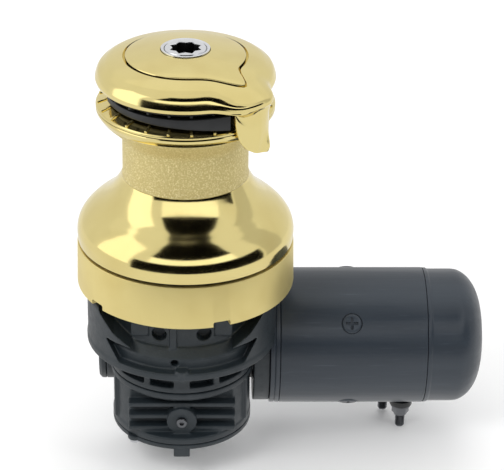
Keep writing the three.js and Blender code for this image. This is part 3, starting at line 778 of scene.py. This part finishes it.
def upper_casting():
    profile = [(19, -0.4), (62, -0.4), (62, -8.5), (75.5, -8.5), (76.5, -10.5), (76.5, -46), (77.2, -48),
               (77.2, -52.6), (76.4, -53.2), (50, -53.2), (50, -61), (58.6, -61), (58.6, -64.8),
               (50, -64.8), (50, -71.2), (58.2, -71.2), (58.2, -76), (34.5, -76), (34.5, -61),
               (15.6, -61), (15.6, -20), (19, -20)]
    body = put(lathe("gearbox_upper_casting", profile, 160), move=(BOX_X, 0, 0))
    half = [(36, -31.5), (54, -23), (65, -12), (68, 4)]
    mirrored = [(-x, z) for x, z in reversed(half)]
    recess = front_prism("recess", mirrored + half)
    recess = cut(recess, [put(plug("wall", 60, -60, 10, 128), move=(BOX_X, 0, 0))])
    shelf = lathe("shelf", [(60, -30), (69, -38.5), (69, -46.8), (95, -46.8), (95, -30)], 128)
    limit = front_prism("limit", [(-44, -60), (-50, -46), (-64, -24), (64, -24), (50, -46), (44, -60)])
    shelf = combine(put(shelf, move=(BOX_X, 0, 0)), [limit], "INTERSECT")
    body = cut(body, [recess, shelf])
    extra = [slab("rib", (BOX_X - 9.4, BOX_X - 3.8), (-62.6, -55), (-34, -6), 0.8)]
    for side in (-1, 1):
        middle = BOX_X + side * 33
        extra.append(slab("pad", (middle - 7, middle + 7), (-56, -48), (-24, -8), 1))
    half_widths = {-90: 6.4, -119: 2.6, -61: 2.6, -150: 3, -30: 3, 0: 4, 90: 5, 135: 4, 180: 4, 45: 4}
    for angle, wide in half_widths.items():
        bridge = slab("bridge", (44, 58), (-wide, wide), (-73, -52), 0.6)
        extra.append(put(bridge, (0, 0, angle), (BOX_X, 0, 0)))
    boss = plug("boss", 5.2, -53, -45, 48)
    extra.append(put(boss, move=(BOX_X, -72.6, 0)))
    body = combine(body, extra)
    tools = [along_worm("tube", 36.4, -100, 100), along_worm("neck", 54.9, 55.4, 100),
             along_worm("can", 57.5, 69, 100)]
    for side in (-1, 1):
        port = put(plug("port", 5.8, -9, 9, 48), (90, 0, 0), (BOX_X + side * 17.6, -58, -21.5))
        tools.append(port)
    tools.append(put(plug("drill", 3.0, -8, 8, 32), (90, 0, 0), (BOX_X - 5.5, -68, -41.5)))
    body = cut(body, tools)
    return as_casting(body, 0.75, 3)


def lower_casting():
    profile = [(15.6, -117.5), (15.6, -125.7), (57, -125.7), (57, -120.6), (56.2, -119.8), (56.2, -83),
               (57.2, -82), (58.4, -81.6), (58.4, -76.9), (34.5, -76.9), (34.5, -117.5)]
    body = put(lathe("gearbox_lower_casting", profile, 160), move=(BOX_X, 0, 0))
    face = front_prism("face", [(-60, -119.6), (-60, -84), (60, -84), (60, -119.6)], -100, -37.6)
    body = cut(body, [face])
    extra = []
    for z in (-92.2, -103.2, -114.2):
        fin = slab("fin", (BOX_X - 43.4, BOX_X + 43.4), (-46.5, -36), (z - 4.0, z), 0.7)
        extra.append(fin)
    extra.append(put(plug("boss", 12.2, -8, 8, 96), (90, 0, 0), (BOX_X, -41.5, -108)))
    extra.append(along_worm("tube", 36, -65.3, 57))
    extra.append(along_worm("neck", 54.5, 56, 69.3, 160))
    for angle in (200, 150, 25, -25):
        web = slab("web", (50, 58.6), (-1.8, 1.8), (-120, -80), 0.6)
        extra.append(put(web, (0, 0, angle), (BOX_X, 0, 0)))
    body = combine(body, extra)
    tools = [along_worm("bore", 14, -70, 72, 64), along_worm("motor_bore", 40, 62, 72, 96),
             put(plug("cavity", 34.5, -117.5, -60, 96), move=(BOX_X, 0, 0)),
             plug("shaft_seat", 15.6, -126.5, -117, 64), plug("upper_seat", 15.6, -70, -30, 64)]
    body = cut(body, tools)
    return as_casting(body, 0.75, 3)


def bottom_plate():
    high = -126.1
    low = high - 3.8
    plate = lathe("gearbox_cover", rounded([(0.01, low), (57, low), (57, high), (0.01, high)], 0.8), 160)
    extra = []
    for angle in COVER_SCREWS:
        edge = rounded([(0.01, low), (6, low), (6, high), (0.01, high)], 0.6)
        lobe = put(lathe("lobe", edge, 48), move=(54, 0, 0))
        extra.append(put(lobe, (0, 0, angle)))
    extra.append(slab("tab", (-6.6, 6.6), (-57, -49), (low - 7.2, low + 1), 0.8))
    plate = combine(plate, extra)
    tools = []
    for angle in COVER_SCREWS:
        tools.append(put(plug("hole", 2.6, low - 1, high + 1, 24), move=(54, 0, 0)))
        put(tools[-1], (0, 0, angle))
    return put(cut(plate, tools), move=(BOX_X, 0, 0))


def end_cover():
    corners = [(0.01, -71.8), (24, -71.8), (25, -70.8), (33.5, -71.6), (36, -69.3), (36, -65.7),
               (0.01, -65.7)]
    cap = lathe("worm_cover", rounded(corners, 0.6), 128)
    tools = []
    for i in range(4):
        tools.append(put(plug("hole", 2.4, -75, -60, 24), move=(29.5, 0, 0)))
        put(tools[-1], (0, 0, 45 + 90 * i))
    return on_motor(cut(cap, tools))


def socket_screw(name, low=-133.2):
    """A hexagon socket screw, head down."""
    profile = [(0, low), (3.8, low), (4.2, low + 0.4), (4.2, low + 3), (2.2, low + 3), (2.2, low + 15.4),
               (0, low + 15.6)]
    head = lathe(name, profile, 48)
    hexagon = [(2 * math.cos(TAU * k / 6), 2 * math.sin(TAU * k / 6)) for k in range(6)]
    return cut(head, [prism("hex", hexagon, low - 1, low + 2)])


piece(upper_casting(), "frame", "cast_paint", CASTING, "gearbox_upper")
piece(lower_casting(), "frame", "cast_paint", CASTING, "gearbox_lower")
piece(bottom_plate(), "frame", "cast_paint", CASTING, "bottom_cover")
piece(end_cover(), "frame", "cast_paint", CASTING, "worm_end_cap")
for number, angle in enumerate(COVER_SCREWS, 1):
    screw = put(socket_screw(f"cover_bolt_{number}"), move=(54, 0, 0))
    put(screw, (0, 0, angle), (BOX_X, 0, 0))
    piece(screw, "frame", "steel", STEEL, f"cover_screw_{number}")


boss_screw = put(socket_screw("boss_screw", -52.6), (-90, 0, 0), (BOX_X, 0, -108))
piece(boss_screw, "frame", "steel", DARK_STEEL)


# ---- stage --------------------------------------------------------------------------------
STAGE_WIDTH = 6.0  # metres, as is everything on the stage


def stage_plane(name, height, color):
    half = STAGE_WIDTH / 2
    mesh = bpy.data.meshes.new(name)
    corners = [(-half, -half, 0), (half, -half, 0), (half, half, 0), (-half, half, 0)]
    mesh.from_pydata(corners, [], [(0, 1, 2, 3)])
    obj = bpy.data.objects.new(name, mesh)
    obj.location = (0, 0, height)
    bpy.context.scene.collection.objects.link(obj)
    material = bpy.data.materials.new(name)
    material.use_nodes = True
    main = material.node_tree.nodes["Principled BSDF"]
    main.inputs["Base Color"].default_value = (*color, 1)
    main.inputs["Roughness"].default_value = 0.9
    mesh.materials.append(material)
    return obj


def light(name, location, target, size, power):
    data = bpy.data.lights.new(name, "AREA")
    data.shape = "RECTANGLE"
    data.size, data.size_y = size
    data.energy = power
    lamp = bpy.data.objects.new(name, data)
    lamp.location = location
    lamp.rotation_euler = (Vector(location) - Vector(target)).to_track_quat("Z", "Y").to_euler()
    bpy.context.scene.collection.objects.link(lamp)
    return lamp


def reflector(name, azimuth, elevation, width, height, level, distance=1.3):
    """A card seen only in reflections, facing the winch, sized in degrees as seen from it."""
    rows = []
    steps = 12
    for i in range(steps + 1):
        turn = math.radians(azimuth + width * (i / steps - 0.5))
        for j in range(steps + 1):
            tilt = math.radians(elevation + height * (j / steps - 0.5))
            flat = math.cos(tilt)
            toward = Vector((math.sin(turn) * flat, -math.cos(turn) * flat, math.sin(tilt)))
            rows.append(distance * toward)
    across = steps + 1
    corners = [i * across + j for i in range(steps) for j in range(steps)]
    faces = [(k, k + across, k + across + 1, k + 1) for k in corners]
    mesh = bpy.data.meshes.new(name)
    mesh.from_pydata(rows, [], faces)
    obj = bpy.data.objects.new(name, mesh)
    obj.location = (0, 0, 0.06)
    bpy.context.scene.collection.objects.link(obj)
    paint_card(obj, level)
    return obj


def paint_card(obj, level):
    """Makes a stage object glow, and hides it from everything but reflections."""
    material = bpy.data.materials.new(obj.name)
    material.use_nodes = True
    main = material.node_tree.nodes["Principled BSDF"]
    main.inputs["Base Color"].default_value = (0, 0, 0, 1)
    main.inputs["Specular IOR Level"].default_value = 0.0
    main.inputs["Emission Color"].default_value = (1, 1, 1, 1)
    main.inputs["Emission Strength"].default_value = level
    obj.data.materials.append(material)
    obj.visible_camera = False
    obj.visible_diffuse = False
    obj.visible_shadow = False
    obj.visible_transmission = False


floor_z = CAD_BOX[0][2] - 0.001
stage_plane("floor", floor_z, (0.93, 0.93, 0.93))
low_card = stage_plane("low_card", floor_z + 0.0005, (0, 0, 0))
low_card.data.materials.clear()
paint_card(low_card, 0.88)
reflector("back_card", 180, 16, 150, 40, 0.8, 1.5)
reflector("over_card", 180, 64, 120, 30, 0.92, 1.5)
reflector("high_black", 8, 58, 96, 34, 0.0)
reflector("bright_strip", 8, 33, 96, 16, 1.35)
reflector("low_black", 14, 6, 138, 34, 0.0)
reflector("left_box", -78, 26, 40, 56, 1.5)
reflector("right_card", 100, 20, 26, 60, 0.6)
for lamp in (light("key", (-0.9, -1.1, 1.4), (0, 0, 0.05), (0.8, 0.8), 13),
             light("side", (1.5, -0.9, 0.9), (0.1, 0, 0), (0.5, 1.2), 5),
             light("back", (0.3, 1.4, 1.3), (0, 0, 0), (1.2, 0.6), 9)):
    lamp.visible_glossy = False
world = bpy.data.worlds.new("studio")
bpy.context.scene.world = world
world.use_nodes = True
world.node_tree.nodes["Background"].inputs["Color"].default_value = (1, 1, 1, 1)
world.node_tree.nodes["Background"].inputs["Strength"].default_value = 0.85
bpy.context.scene.view_settings.view_transform = "Standard"
